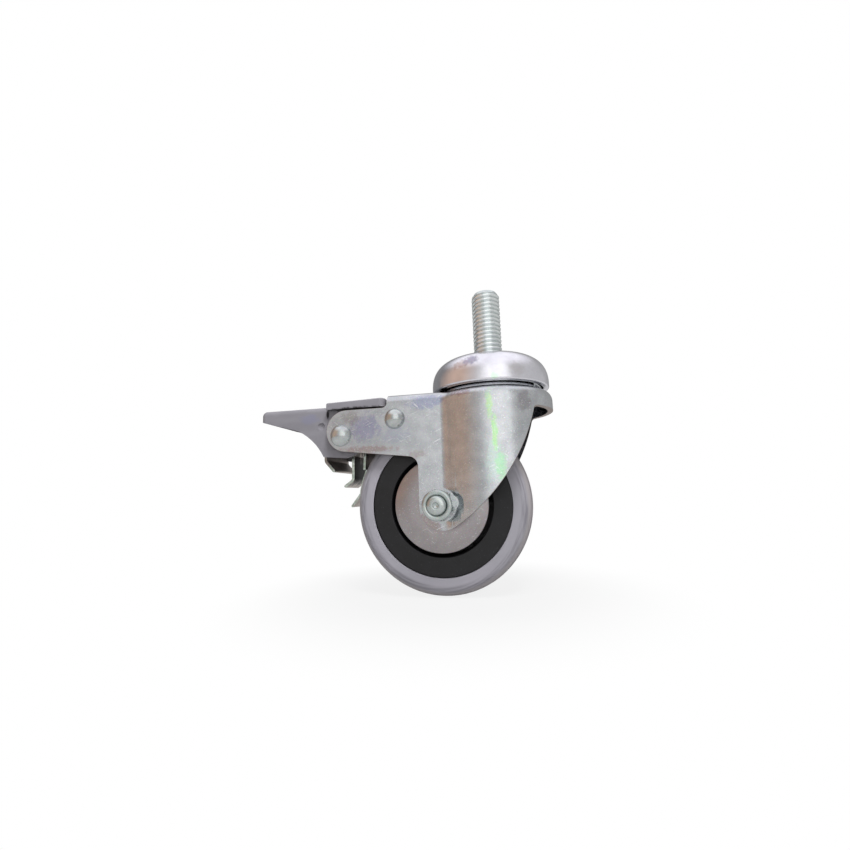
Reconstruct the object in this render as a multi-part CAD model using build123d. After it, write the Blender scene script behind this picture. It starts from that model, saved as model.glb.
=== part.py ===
from build123d import *
from math import cos, pi, radians, sin, sqrt, tan
import os

# A swivel castor with a threaded stem, a 60 x 24 mm wheel and a foot brake. Millimetres.
# The origin is the middle of the swivel cap's top, where the stem leaves it. +Z runs up the stem.
# +X is ahead: the wheel trails at -X, with the brake behind it. The axle lies along Y.

# ---- Stem and king pin ----
stem_radius = 5.0
stem_length = 25.0
stem_chamfer = 1.0
pin_neck_lip = 0.4
pin_shoulder = 1.2
pin_collar_lip = 1.0
pin_collar_thickness = 1.4
pin_head_lip = 1.4
pin_head_height = 2.6
pin_head_side = 1.4
pin_head_bevel = 2.6

# ---- Swivel bearing: two rows of balls, with the fork's crown between them ----
race_depth = 0.5
ball_play = 0.05
ball_pitch_factor = 1.3
upper_ball_radius = 2.4
lower_ball_radius = 2.0
crown_play = 2.0
lower_ball_land = 2.0
ball_row_stagger = 2.3
lower_race_rim = 3.6
lower_race_thickness = 1.8
lower_race_lip = 1.4

# ---- Swivel cap ----
cap_overhang = 7.8
cap_height = 12.1
cap_flat_radius = 7.5
cap_side_height = 2.0
cap_shoulder_reach = 0.66
cap_shoulder_rise = 0.65
cap_wall = 2.0
cap_lip_round = 0.7

# ---- Fork: one pressed sheet ----
sheet = 1.8
crown_gap = 1.1
head_overhang = 0.7
bend_radius = 3.5
crease_radius = 4.0
skirt_depth = 6.9
skirt_corner_radius = 1.2
nose_setback = 6.6
boss_rim = 3.5
boss_play = 0.4
cheek_tread_gap = 1.6
crown_tread_gap = 6.1

# ---- Axle and the foot of each cheek ----
trail = 16.95
foot_radius = 7.5
foot_ahead = 0.9
foot_below = 0.55
toe_angle = 58.0
seat_margin = 0.3
seat_wall_angle = 30.0
seat_lobe_ahead = 3.9
seat_lobe_rise = 0.7
seat_lobe_radius = 2.2
bolt_radius = 3.0
bolt_hole_play = 0.2
bolt_head_height = 4.0
bolt_tail = 1.9
bolt_end_chamfer = 0.4
hex_across = 9.0
hex_chamfer = 0.1
hex_turn = 15.0
nut_height = 5.0
sleeve_wall = 1.0
running_play = 0.05

# ---- Wheel ----
wheel_radius = 29.25
tread_half_width = 12.0
tread_crown = 0.65
tread_thickness = 6.35
shoulder_radius = 3.2
key_depth = 1.6
key_half_width = 6.5
core_inset = 0.5
rim_thickness = 6.3
rim_lip_chamfer = 0.3
hub_wall = 2.4
hub_shoulder = 1.2
web_half_thickness = 1.6
rib_count = 6
rib_half_thickness = 0.9
rib_inset = 6.5
bearing_radius = 11.0
bearing_width = 7.0
bearing_proud = 0.7
bearing_ring = 1.6
bearing_seal_gap = 0.35
bearing_seal_thickness = 0.5
bearing_seal_recess = 0.2
shim_thickness = 0.5
cover_rim_gap = 1.2
cover_thickness = 0.8
cover_flat_margin = 0.5
cover_dish = 1.3

# ---- Brake: arms of the fork and rivets ----
pivot_behind_tread = 3.9
pivot_below_crown = 13.1
shoe_pivot_ahead = 19.0
shoe_pivot_below_crown = 8.5
arm_end_radius = 7.1
arm_end_ahead = 1.9
arm_top_below_crown = 4.5
arm_root_depth = 17.1
arm_root_radius = 3.4
web_past_rivet = 2.7
web_corner_radius = 1.6
rivet_radius = 2.5
rivet_head_lip = 0.8
rivet_head_height = 2.4
shoe_rivet_radius = 1.8
rivet_tail_lip = 0.5
rivet_tail_height = 0.9

# ---- Brake: pedal ----
pedal_cheek_gap = 0.8
pedal_wall = 2.0
pedal_roof = 2.3
pedal_edge_round = 1.8
pedal_corner_round = 2.0
pedal_above_arm = 2.2
pedal_reach = 31.8
pedal_tip_depth = 3.9
pedal_tip_round = 1.3
throat_reach = 17.4
throat_depth = 7.9
throat_bulge = 1.6
heel_reach = 7.4
heel_below_pivot = 6.8
lobe_radius = 7.4
platform_reach = 5.35
platform_web_gap = 0.9
platform_rear_rise = 0.8
platform_front_rise = 1.4
platform_arm_gap = 0.6
platform_edge_round = 0.5
platform_corner_round = 2.0
pedal_boss_wall = 1.9
side_play = 0.3
dimple_radius = 1.6
dimple_depth = 0.7
dimple_reach = 8.3
dimple_above_pivot = 3.9
slot_width = 0.8
slot_depth = 0.6
slot_height = 2.7
slot_setback = 0.4
clamp_reach = 7.1
clamp_length = 4.4

# ---- Brake: steel plate in the pedal ----
plate_thickness = 1.0
plate_half_width = 6.5
plate_play = 0.1
plate_bend_radius = 1.6
leaf_ahead = 1.0
leaf_lean = 20.0
leaf_depth = 14.9
leaf_foot_reach = 2.9
leaf_foot_fall = 2.0
flap_reach = 7.7
flap_depth = 8.2
flap_return = 2.9
flap_fall = 3.3
flap_shoulder_depth = 3.0
flap_wall_gap = 0.5

# ---- Brake: shoe ----
shoe_thickness = 0.8
shoe_half_width = 7.0
tongue_half_width = 4.0
shoe_tread_gap = 0.9
shoe_bridge_rise = 3.1
shoe_bridge_reach = 6.4
shoe_knee_ahead = 5.9
shoe_knee_below_pivot = 0.7
shoe_shoulder_height = 12.7
tongue_bend_height = 4.3
tongue_tip_height = 0.1
tongue_tip_reach = 4.2
shoe_bend_radius = 3.0
shoe_ear_radius = 3.5
shoe_ear_bend_radius = 0.9

# ---- Radii about the swivel axis, from the stem outwards ----
pin_shank_radius = stem_radius + pin_shoulder
pin_collar_radius = pin_shank_radius + pin_collar_lip
pin_head_radius = pin_shank_radius + pin_head_lip
crown_hole_radius = pin_shank_radius + crown_play
lower_pitch_radius = crown_hole_radius + lower_ball_land
upper_pitch_radius = lower_pitch_radius + ball_row_stagger
lower_race_radius = lower_pitch_radius + lower_race_rim
boss_top_radius = upper_pitch_radius + boss_rim
cap_radius = upper_pitch_radius + cap_overhang
boss_base_radius = cap_radius - cap_wall - boss_play
head_radius = cap_radius + head_overhang

# ---- Heights, from the cap's top downwards ----
upper_ball_z = race_depth - cap_wall - ball_play - upper_ball_radius
plateau_top = upper_ball_z - upper_ball_radius - ball_play + race_depth
plateau_under = plateau_top - sheet
lower_ball_z = plateau_under + race_depth - ball_play - lower_ball_radius
lower_race_top = lower_ball_z - lower_ball_radius - ball_play + race_depth
lower_race_under = lower_race_top - lower_race_thickness
crown_top = -(cap_height + crown_gap)
crown_under = crown_top - sheet
arm_top_z = crown_top - arm_top_below_crown
pedal_top_z = arm_top_z + pedal_above_arm

# ---- Axle and wheel ----
axle_x = -trail
axle_z = crown_under - crown_tread_gap - wheel_radius
tread_back_x = axle_x - wheel_radius
seat_radius = wheel_radius - tread_thickness
rim_inner_radius = seat_radius - rim_thickness
hub_radius = bearing_radius + hub_wall
cover_radius = rim_inner_radius - cover_rim_gap
cover_flat_radius = bearing_radius + cover_flat_margin
core_half_width = tread_half_width - core_inset
cheek_inside = tread_half_width + cheek_tread_gap
cheek_half_width = cheek_inside + sheet
bearing_outside = cheek_inside - cover_thickness - shim_thickness
bearing_inside = bearing_outside - bearing_width
hub_half_width = bearing_outside - bearing_proud
sleeve_radius = bolt_radius + sleeve_wall
bearing_bore = sleeve_radius + running_play
hex_corner_radius = hex_across / 2 / cos(radians(30))
axle_line = Axis((axle_x, 0, axle_z), (0, 1, 0))
axle_plane = Plane(origin=(axle_x, 0, axle_z), x_dir=(0, 1, 0), z_dir=(1, 0, 0))

# ---- Pivots of the brake ----
pivot_x = tread_back_x - pivot_behind_tread
pivot_z = crown_top - pivot_below_crown
shoe_pivot_x = pivot_x + shoe_pivot_ahead
shoe_pivot_z = crown_top - shoe_pivot_below_crown
web_back_x = shoe_pivot_x - web_past_rivet
rivet_head_radius = rivet_radius + rivet_head_lip
pedal_half_width = cheek_inside - pedal_cheek_gap


def turned(points):
    """A body of revolution about the swivel axis, from its half section as (radius, height) points."""
    return revolve(Plane.XZ * make_face(Polyline(*points, close=True)), Axis.Z)


def turned_on_axle(points):
    """A body of revolution about the axle, from its half section as (side, radius) points."""
    return revolve(axle_plane * make_face(Polyline(*points, close=True)), axle_line)


def mirrored(half):
    """Half of a wheel section, as (side, radius) points, joined to its mirror image."""
    return half + [(-side, radius) for side, radius in reversed(half)]


def torus_at(pitch, height, tube):
    return Pos(0, 0, height) * Torus(pitch, tube)


def ball_set(pitch, height, radius):
    """A full row of balls on a circle about the swivel axis."""
    count = int(pi * pitch / (radius * ball_pitch_factor))
    places = [Vector(pitch, 0, height).rotate(Axis.Z, 360 * i / count) for i in range(count)]
    return Compound(children=[Pos(place) * Sphere(radius) for place in places])


def bar(x, z, radius, start, end):
    """A round bar along Y between two distances from the middle of the castor."""
    return Pos(x, (start + end) / 2, z) * Rot(90, 0, 0) * Cylinder(radius, abs(end - start))


def side_plate(face, half_width):
    """A side outline in X and Z, given thickness to both sides of the middle."""
    return extrude(Plane.XZ * face, half_width, both=True)


def bent_strip(path, thickness, half_width):
    """Bent sheet whose middle line is the path, in X and Z."""
    return side_plate(make_face(offset(path, thickness / 2, side=Side.BOTH, closed=True)), half_width)


def both_sides(solid):
    return solid + mirror(solid, Plane.XZ)


# ---- Head ----

def dome(radius, flat_radius, top, side_top):
    """Half of a drawn cap's section: the round shoulder between its flat top and straight side."""
    return Bezier(
        (flat_radius, top),
        (flat_radius + cap_shoulder_reach * (radius - flat_radius), top),
        (radius, side_top + cap_shoulder_rise * (top - side_top)),
        (radius, side_top),
    )


def domed_plug(radius, flat_radius, top, bottom):
    """A solid with the cap's shape, down to a given height."""
    side_top = -(cap_height - cap_side_height)
    section = Polyline((radius, side_top), (radius, bottom), (0, bottom), (0, top), (flat_radius, top))
    section += dome(radius, flat_radius, top, side_top)
    return revolve(Plane.XZ * make_face(section), Axis.Z)


def swivel_cap():
    body = domed_plug(cap_radius, cap_flat_radius, 0, -cap_height)
    body = fillet(body.edges().sort_by(Axis.Z)[0], cap_lip_round)
    body -= domed_plug(cap_radius - cap_wall, cap_flat_radius, -cap_wall, -2 * cap_height)
    body -= torus_at(upper_pitch_radius, upper_ball_z, upper_ball_radius + ball_play)
    return body - Cylinder(stem_radius + pin_neck_lip + running_play, 3 * cap_wall)


def king_pin():
    """Threaded stem, neck in the cap, collar under it, shank through both races and peened head."""
    neck_radius = stem_radius + pin_neck_lip
    collar_under = -(cap_wall + pin_collar_thickness)
    head_under = lower_race_under - pin_head_height
    return turned([
        (0, stem_length),
        (stem_radius - stem_chamfer, stem_length),
        (stem_radius, stem_length - stem_chamfer),
        (stem_radius, 0),
        (neck_radius, 0),
        (neck_radius, -cap_wall),
        (pin_collar_radius, -cap_wall),
        (pin_collar_radius, collar_under),
        (pin_shank_radius, collar_under),
        (pin_shank_radius, lower_race_top),
        (stem_radius, lower_race_top),
        (stem_radius, lower_race_under),
        (pin_head_radius, lower_race_under),
        (pin_head_radius, lower_race_under - pin_head_side),
        (pin_head_radius - pin_head_bevel, head_under),
        (0, head_under),
    ])


def lower_race():
    lip_inside = lower_race_radius - lower_race_lip
    hole = stem_radius + running_play
    dish = turned([
        (hole, lower_race_top),
        (lip_inside - lower_race_lip, lower_race_top),
        (lip_inside, lower_race_top + lower_race_lip),
        (lower_race_radius, lower_race_top + lower_race_lip),
        (lower_race_radius, lower_race_top),
        (lip_inside, lower_race_under),
        (hole, lower_race_under),
    ])
    return dish - torus_at(lower_pitch_radius, lower_ball_z, lower_ball_radius + ball_play)


# ---- Fork ----

def fork_plan(inset, back):
    """The fork seen from above, at a depth under its outer skin: round head and two flat cheeks."""
    radius = head_radius - inset
    half_width = cheek_half_width - inset
    plan = Circle(radius) + Pos(-back / 2, 0) * Rectangle(back, 2 * half_width)
    join_x = -sqrt(radius ** 2 - half_width ** 2)
    creases = plan.vertices().filter_by(lambda corner: abs(corner.X - join_x) < 0.01)
    return fillet(creases, crease_radius + inset)


def drawn_block(inset, margin):
    """The block inside the fork's skin, at a depth under it, run past the arms and the feet."""
    back = arm_end_radius + margin - pivot_x
    foot = axle_z - foot_below - foot_radius - margin
    top = crown_top - inset
    block = Pos(0, 0, foot) * extrude(fork_plan(inset, back), top - foot)
    rim = block.faces().sort_by(Axis.Z)[-1].edges().filter_by(lambda edge: edge.center().X > 1 - back)
    return fillet(rim, bend_radius - inset)


def nut_seat(inset):
    """What the press takes from the head's bulge at the axle, so that nut and bolt head sit square."""
    floor = cheek_half_width - inset
    depth = head_radius - floor
    spread = depth * tan(radians(seat_wall_angle))
    growth = inset * tan(radians(45 - seat_wall_angle / 2))
    round_seat = hex_corner_radius + seat_margin + growth
    lobe = seat_lobe_radius + growth
    seat = Rot(-90, 0, 0) * Cone(round_seat, round_seat + spread, depth)
    seat += Pos(seat_lobe_ahead, 0, seat_lobe_rise) * Rot(-90, 0, 0) * Cone(lobe, lobe + spread, depth)
    return both_sides(Pos(axle_x, floor + depth / 2, axle_z) * seat)


def side_outline():
    """The fork from the side: head, skirt, leg with its round foot, and the long arm of the brake."""
    foot_x = axle_x + foot_ahead
    foot_z = axle_z - foot_below
    skirt_z = crown_top - skirt_depth
    clear_x = head_radius + sheet
    clear_z = crown_top + sheet
    end_x = pivot_x + arm_end_ahead
    toe_angle_rad = radians(toe_angle)
    toe = (foot_x + foot_radius * cos(toe_angle_rad), foot_z - foot_radius * sin(toe_angle_rad))
    sole = (foot_x, foot_z - foot_radius)
    heel = (foot_x - foot_radius, foot_z)
    root = (heel[0], arm_top_z - arm_root_depth)
    nose = (head_radius - nose_setback, skirt_z)
    web_foot = (web_back_x, arm_top_z)
    outline = Polyline(nose, (clear_x, skirt_z), (clear_x, clear_z), (web_back_x, clear_z), web_foot)
    outline += Line(web_foot, (end_x, arm_top_z))
    outline += ThreePointArc(
        (end_x, arm_top_z),
        (end_x - arm_end_radius, arm_top_z - arm_end_radius),
        (end_x, arm_top_z - 2 * arm_end_radius),
    )
    outline += Polyline((end_x, arm_top_z - 2 * arm_end_radius), root, heel)
    outline += ThreePointArc(heel, sole, toe)
    outline += TangentArc(toe, nose, tangent=(sin(toe_angle_rad), cos(toe_angle_rad)))
    face = make_face(outline)
    face = fillet(face.vertices().sort_by_distance((*nose, 0))[0], skirt_corner_radius)
    face = fillet(face.vertices().sort_by_distance((*web_foot, 0))[0], web_corner_radius)
    return fillet(face.vertices().sort_by_distance((*root, 0))[0], arm_root_radius)


def race_boss(inset):
    """The raised race that the crown is pressed up into, at a depth under its skin."""
    height = plateau_top - crown_top
    boss = Cone(boss_base_radius - inset, boss_top_radius - inset, height)
    return Pos(0, 0, crown_top + height / 2 - inset) * boss


def fork():
    body = drawn_block(0, sheet) - nut_seat(0)
    body -= drawn_block(sheet, 2 * sheet) - nut_seat(sheet)
    body &= side_plate(side_outline(), head_radius + sheet)
    body += race_boss(0)
    body -= race_boss(sheet)
    body -= Cylinder(crown_hole_radius, -2 * axle_z)
    body -= torus_at(upper_pitch_radius, upper_ball_z, upper_ball_radius + ball_play)
    body -= torus_at(lower_pitch_radius, lower_ball_z, lower_ball_radius + ball_play)
    body -= bar(axle_x, axle_z, bolt_radius + bolt_hole_play, -head_radius, head_radius)
    body -= bar(pivot_x, pivot_z, rivet_radius + running_play, -head_radius, head_radius)
    return body - bar(shoe_pivot_x, shoe_pivot_z, shoe_rivet_radius + running_play, -head_radius, head_radius)


# ---- Axle ----

def hexagon(start, end):
    """A hexagon round the axle between two distances from the middle, turned off at its outer corners."""
    outline = RegularPolygon(hex_across / 2, 6, major_radius=False, rotation=-hex_turn)
    block = extrude(Plane.XZ.offset(-start) * Pos(axle_x, axle_z) * outline, start - end)
    corner = hex_corner_radius + running_play
    top = hex_across / 2 - hex_chamfer
    slope = (corner - top) / sqrt(3)
    shoulder = end - slope if end > start else end + slope
    return block & turned_on_axle([(start, 0), (start, corner), (shoulder, corner), (end, top), (end, 0)])


def axle_bolt():
    tip = -(cheek_half_width + nut_height + bolt_tail)
    shank = turned_on_axle([
        (cheek_half_width, 0),
        (cheek_half_width, bolt_radius),
        (tip + bolt_end_chamfer, bolt_radius),
        (tip, bolt_radius - bolt_end_chamfer),
        (tip, 0),
    ])
    return shank + hexagon(cheek_half_width, cheek_half_width + bolt_head_height)


def axle_nut():
    nut = hexagon(-cheek_half_width, -(cheek_half_width + nut_height))
    return nut - bar(axle_x, axle_z, bolt_radius + running_play, 0, -2 * head_radius)


def axle_sleeve():
    """The tube that the nut clamps between the cheeks, with the spacer between the two bearings."""
    bore = bolt_radius + running_play
    return turned_on_axle(mirrored([
        (cheek_inside, bore),
        (cheek_inside, sleeve_radius),
        (bearing_inside, sleeve_radius),
        (bearing_inside, bearing_bore + bearing_ring),
    ]))


def shim(side):
    start = side * bearing_outside
    end = side * (bearing_outside + shim_thickness)
    edge = bearing_bore + bearing_ring
    return turned_on_axle([(start, bearing_bore), (end, bearing_bore), (end, edge), (start, edge)])


def cover(side):
    """A pressed disc, flat where the cheek clamps it and dished towards the wheel at its edge."""
    outside = cheek_inside
    inside = cheek_inside - cover_thickness
    return turned_on_axle([
        (side * outside, bearing_bore),
        (side * outside, cover_flat_radius),
        (side * (outside - cover_dish), cover_radius),
        (side * (inside - cover_dish), cover_radius),
        (side * inside, cover_flat_radius),
        (side * inside, bearing_bore),
    ])


# ---- Wheel ----

def inner_ring(side):
    outside = bearing_bore + bearing_ring
    return turned_on_axle([
        (side * bearing_inside, bearing_bore),
        (side * bearing_outside, bearing_bore),
        (side * bearing_outside, outside),
        (side * bearing_inside, outside),
    ])


def outer_ring(side):
    """A bearing's outer ring with a seal set into each of its faces."""
    race = bearing_radius - bearing_ring
    seal_edge = bearing_bore + bearing_ring + bearing_seal_gap
    middle = (bearing_inside + bearing_outside) / 2
    face = bearing_width / 2
    seal_outside = face - bearing_seal_recess
    seal_inside = seal_outside - bearing_seal_thickness
    half = [(face, bearing_radius), (face, race), (seal_outside, race)]
    half += [(seal_outside, seal_edge), (seal_inside, seal_edge), (seal_inside, race)]
    return turned_on_axle([(side * middle + across, radius) for across, radius in mirrored(half)])


def wheel_core():
    """Moulded centre: rim with a keyway for the tyre, web with ribs, and hub with two bearing seats."""
    groove = seat_radius - key_depth
    bore = bearing_radius + running_play
    body = turned_on_axle(mirrored([
        (key_half_width, groove),
        (key_half_width, seat_radius),
        (core_half_width, seat_radius),
        (core_half_width, rim_inner_radius + rim_lip_chamfer),
        (core_half_width - rim_lip_chamfer, rim_inner_radius),
        (web_half_thickness, rim_inner_radius),
        (web_half_thickness, hub_radius),
        (hub_half_width, hub_radius),
        (hub_half_width, bore),
        (bearing_inside, bore),
        (bearing_inside, bearing_radius - hub_shoulder),
    ]))
    rib_length = rim_inner_radius - hub_radius + 2 * web_half_thickness
    rib = Box(rib_length, 2 * (core_half_width - rib_inset), 2 * rib_half_thickness)
    rib = Pos((rim_inner_radius + hub_radius) / 2, 0, 0) * rib
    for i in range(rib_count):
        body += Pos(axle_x, 0, axle_z) * Rot(0, 360 * i / rib_count, 0) * rib
    return body


def tyre():
    seat = seat_radius + running_play
    key = seat - key_depth
    key_side = key_half_width - running_play
    edge = wheel_radius - tread_crown
    half = [(tread_half_width, edge), (tread_half_width, seat), (key_side, seat), (key_side, key)]
    section = Polyline(*mirrored(half))
    section += ThreePointArc((-tread_half_width, edge), (0, wheel_radius), (tread_half_width, edge))
    face = make_face(section)
    face = fillet(face.vertices().group_by(Axis.Y)[-1], shoulder_radius)
    return revolve(axle_plane * face, axle_line)


# ---- Rivets ----

def rivet_head(x, z):
    """A round head that stands on the outside of the +Y cheek."""
    ball_radius = (rivet_head_radius ** 2 + rivet_head_height ** 2) / (2 * rivet_head_height)
    ball = Pos(x, cheek_half_width + rivet_head_height - ball_radius, z) * Sphere(ball_radius)
    return ball & bar(x, z, 2 * rivet_head_radius, cheek_half_width, 2 * cheek_half_width)


def pivot_rivet():
    shank = bar(pivot_x, pivot_z, rivet_radius, -cheek_half_width, cheek_half_width)
    return shank + both_sides(rivet_head(pivot_x, pivot_z))


def shoe_rivets():
    """Two short rivets, each with its round head outside and a flat tail inside the shoe's ear."""
    tail_start = cheek_inside - 2 * side_play - shoe_thickness
    rivet = bar(shoe_pivot_x, shoe_pivot_z, shoe_rivet_radius, tail_start, cheek_half_width)
    tail_radius = shoe_rivet_radius + rivet_tail_lip
    rivet += bar(shoe_pivot_x, shoe_pivot_z, tail_radius, tail_start - rivet_tail_height, tail_start)
    rivet += rivet_head(shoe_pivot_x, shoe_pivot_z)
    return Compound(children=[rivet, mirror(rivet, Plane.XZ)])


# ---- Brake ----

def pedal_outline():
    """The pedal from the side: lever, hollow throat and the round lobe under its pivot."""
    back = pivot_x - pedal_reach
    tip = (back, pedal_top_z - pedal_tip_depth)
    throat = (pivot_x - throat_reach, pedal_top_z - throat_depth)
    heel = (pivot_x - heel_reach, pivot_z - heel_below_pivot)
    hollow = ((throat[0] + heel[0]) / 2, (throat[1] + heel[1]) / 2 + throat_bulge)
    lobe_bottom = (pivot_x, pivot_z - lobe_radius)
    lobe_corner = (pivot_x + lobe_radius / sqrt(2), pivot_z - lobe_radius / sqrt(2))
    lobe_front = (pivot_x + lobe_radius, pivot_z)
    outline = Polyline(lobe_front, (lobe_front[0], pedal_top_z), (back, pedal_top_z), tip, throat)
    outline += ThreePointArc(throat, hollow, heel)
    outline += Line(heel, lobe_bottom)
    outline += ThreePointArc(lobe_bottom, lobe_corner, lobe_front)
    face = make_face(outline)
    return fillet(face.vertices().sort_by_distance((*tip, 0))[0], pedal_tip_round)


def pedal_lever():
    """The side outline with its corners rounded as seen from above, then the rim of its roof."""
    plan = Rectangle(2 * pedal_reach, 2 * pedal_half_width)
    plan = fillet(plan.vertices().group_by(Axis.X)[0], pedal_corner_round)
    lever = side_plate(pedal_outline(), pedal_half_width)
    lever &= extrude(Pos(pivot_x, 0, pivot_z) * plan, 2 * lobe_radius, both=True)
    roof = lever.faces().sort_by(Axis.Z)[-1]
    return fillet(roof.edges().filter_by(lambda edge: edge.center().X < pivot_x), pedal_edge_round)


def platform():
    """The raised tread of the pedal, which covers both arms of the fork."""
    bottom = arm_top_z + platform_arm_gap
    rear_top = pedal_top_z + platform_rear_rise
    front_top = pedal_top_z + platform_front_rise
    rear = pivot_x - platform_reach
    front = web_back_x - platform_web_gap
    outline = Polyline((rear, bottom), (front, bottom), (front, front_top), (rear, rear_top), close=True)
    block = side_plate(make_face(outline), cheek_half_width)
    block = fillet(block.edges().filter_by(Axis.Z).sort_by(Axis.X)[-2:], platform_corner_round)
    return fillet(block.faces().sort_by(Axis.Z)[-1].edges(), platform_edge_round)


def pedal():
    """A moulded channel, open below, with hubs on the rivet and a block that seats the steel plate."""
    inside_half = pedal_half_width - pedal_wall
    roof_under = pedal_top_z - pedal_roof
    back = pivot_x - pedal_reach
    body = pedal_lever() + platform()
    channel = Polyline(
        (back + pedal_wall, roof_under),
        (0, roof_under),
        (0, axle_z),
        (back + pedal_wall, axle_z),
        close=True,
    )
    body -= side_plate(make_face(channel), inside_half)
    plate_top = pivot_z + rivet_radius + plate_play + plate_thickness
    block = Box(clamp_length, 2 * inside_half, roof_under - plate_top)
    body += Pos(pivot_x - clamp_reach + clamp_length / 2, 0, (roof_under + plate_top) / 2) * block
    hub_start = plate_half_width + side_play
    hub_end = cheek_inside - side_play
    body += both_sides(bar(pivot_x, pivot_z, rivet_radius + pedal_boss_wall, hub_start, hub_end))
    body -= bar(pivot_x, pivot_z, rivet_radius + running_play, -hub_end, hub_end)
    dimple_x = pivot_x - dimple_reach
    dimple_z = pivot_z + dimple_above_pivot
    dimple = Pos(dimple_x, pedal_half_width + dimple_radius - dimple_depth, dimple_z) * Sphere(dimple_radius)
    slot_z = arm_top_z + platform_arm_gap - slot_height / 2
    slot = Box(slot_width, slot_depth, slot_height)
    slot_x = pivot_x - platform_reach - slot_setback
    slot = Pos(slot_x, pedal_half_width - slot_depth / 2, slot_z) * slot
    return body - both_sides(dimple + slot)


def brake_plate():
    """Folded plate held in the pedal: broad flap at the back, wrapped over the rivet, leaf with its foot."""
    wrap_radius = rivet_radius + plate_play + plate_thickness / 2
    top_z = pivot_z + wrap_radius
    lean = radians(leaf_lean)
    wrap_end = (pivot_x + wrap_radius * cos(lean), pivot_z - wrap_radius * sin(lean))
    leaf_x = pivot_x + leaf_ahead
    leaf_top = (leaf_x, wrap_end[1] - (wrap_end[0] - leaf_x) / sin(lean) * cos(lean))
    leaf_bottom = (leaf_x, pivot_z - leaf_depth)
    flap_x = pivot_x - flap_reach
    flap_bend_z = pivot_z - flap_depth
    path = FilletPolyline(
        (flap_x + flap_return, flap_bend_z - flap_fall),
        (flap_x, flap_bend_z),
        (flap_x, top_z),
        (pivot_x, top_z),
        radius=plate_bend_radius,
    )
    path += CenterArc((pivot_x, pivot_z), wrap_radius, 90, -90 - leaf_lean)
    path += FilletPolyline(
        wrap_end,
        leaf_top,
        leaf_bottom,
        (leaf_x - leaf_foot_reach, leaf_bottom[1] - leaf_foot_fall),
        radius=plate_bend_radius,
    )
    broad = bent_strip(path, plate_thickness, pedal_half_width - pedal_wall - flap_wall_gap)
    below = Box(2 * (flap_return + plate_thickness), 2 * pedal_half_width, 2 * flap_depth)
    below = Pos(flap_x, 0, pivot_z - flap_shoulder_depth - flap_depth) * below
    return bent_strip(path, plate_thickness, plate_half_width) + (broad & below)


def on_shoe_arc(height):
    """The point of the shoe's middle line at a height over the axle, behind the tread."""
    radius = wheel_radius + shoe_tread_gap + shoe_thickness / 2
    return (axle_x - sqrt(radius ** 2 - height ** 2), axle_z + height)


def shoe_saddle():
    """The shoe's bridge with an ear folded down at each side, hung on the two short rivets."""
    ear_middle = cheek_inside - side_play - shoe_thickness / 2
    bridge_z = shoe_pivot_z + shoe_bridge_rise
    ear_end = shoe_pivot_z - shoe_ear_radius
    path = FilletPolyline(
        (-ear_middle, ear_end),
        (-ear_middle, bridge_z),
        (ear_middle, bridge_z),
        (ear_middle, ear_end),
        radius=shoe_ear_bend_radius,
    )
    section = make_face(offset(path, shoe_thickness / 2, side=Side.BOTH, closed=True))
    saddle = Pos(shoe_pivot_x, 0, 0) * extrude(Plane.YZ * section, shoe_ear_radius, both=True)
    ear = Pos(shoe_pivot_x, shoe_pivot_z) * Circle(shoe_ear_radius)
    ear += Pos(shoe_pivot_x, bridge_z) * Rectangle(2 * shoe_ear_radius, 2 * shoe_bridge_rise)
    saddle &= side_plate(ear, cheek_inside)
    hole_radius = shoe_rivet_radius + running_play
    return saddle - bar(shoe_pivot_x, shoe_pivot_z, hole_radius, -cheek_inside, cheek_inside)


def brake_shoe():
    """Folded sheet: saddle on the rivets, broad leaf behind the tread, and a narrow tongue below."""
    bridge_z = shoe_pivot_z + shoe_bridge_rise
    shoulder = on_shoe_arc(shoe_shoulder_height)
    middle = on_shoe_arc((shoe_shoulder_height + tongue_bend_height) / 2)
    bend = on_shoe_arc(tongue_bend_height)
    path = FilletPolyline(
        (shoe_pivot_x, bridge_z),
        (shoe_pivot_x - shoe_bridge_reach, bridge_z),
        (pivot_x + shoe_knee_ahead, pivot_z - shoe_knee_below_pivot),
        shoulder,
        radius=shoe_bend_radius,
    )
    path += ThreePointArc(shoulder, middle, bend)
    path += Line(bend, (tread_back_x - tongue_tip_reach, axle_z + tongue_tip_height))
    above = Pos(pivot_x, 0, shoulder[1] / 2) * Box(2 * pedal_reach, 4 * shoe_half_width, -shoulder[1])
    broad = bent_strip(path, shoe_thickness, shoe_half_width) & above
    return broad + bent_strip(path, shoe_thickness, tongue_half_width) + shoe_saddle()


# ---- The sub-parts ----

sub_parts = {
    "king_pin": king_pin(),
    "swivel_cap": swivel_cap(),
    "lower_race": lower_race(),
    "upper_balls": ball_set(upper_pitch_radius, upper_ball_z, upper_ball_radius),
    "lower_balls": ball_set(lower_pitch_radius, lower_ball_z, lower_ball_radius),
    "fork": fork(),
    "axle_bolt": axle_bolt(),
    "axle_nut": axle_nut(),
    "axle_sleeve": axle_sleeve(),
    "hub_shims": Compound(children=[shim(1), shim(-1)]),
    "left_cover": cover(1),
    "right_cover": cover(-1),
    "left_inner_ring": inner_ring(1),
    "right_inner_ring": inner_ring(-1),
    "left_outer_ring": outer_ring(1),
    "right_outer_ring": outer_ring(-1),
    "wheel_core": wheel_core(),
    "tyre": tyre(),
    "pivot_rivet": pivot_rivet(),
    "shoe_rivets": shoe_rivets(),
    "pedal": pedal(),
    "brake_plate": brake_plate(),
    "brake_shoe": brake_shoe(),
}

os.makedirs("parts", exist_ok=True)
for name, solid in sub_parts.items():
    export_step(solid, f"parts/{name}.step")
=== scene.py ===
from math import cos, radians, sin

import bmesh
import bpy
import numpy as np
from mathutils import Matrix, Vector


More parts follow.
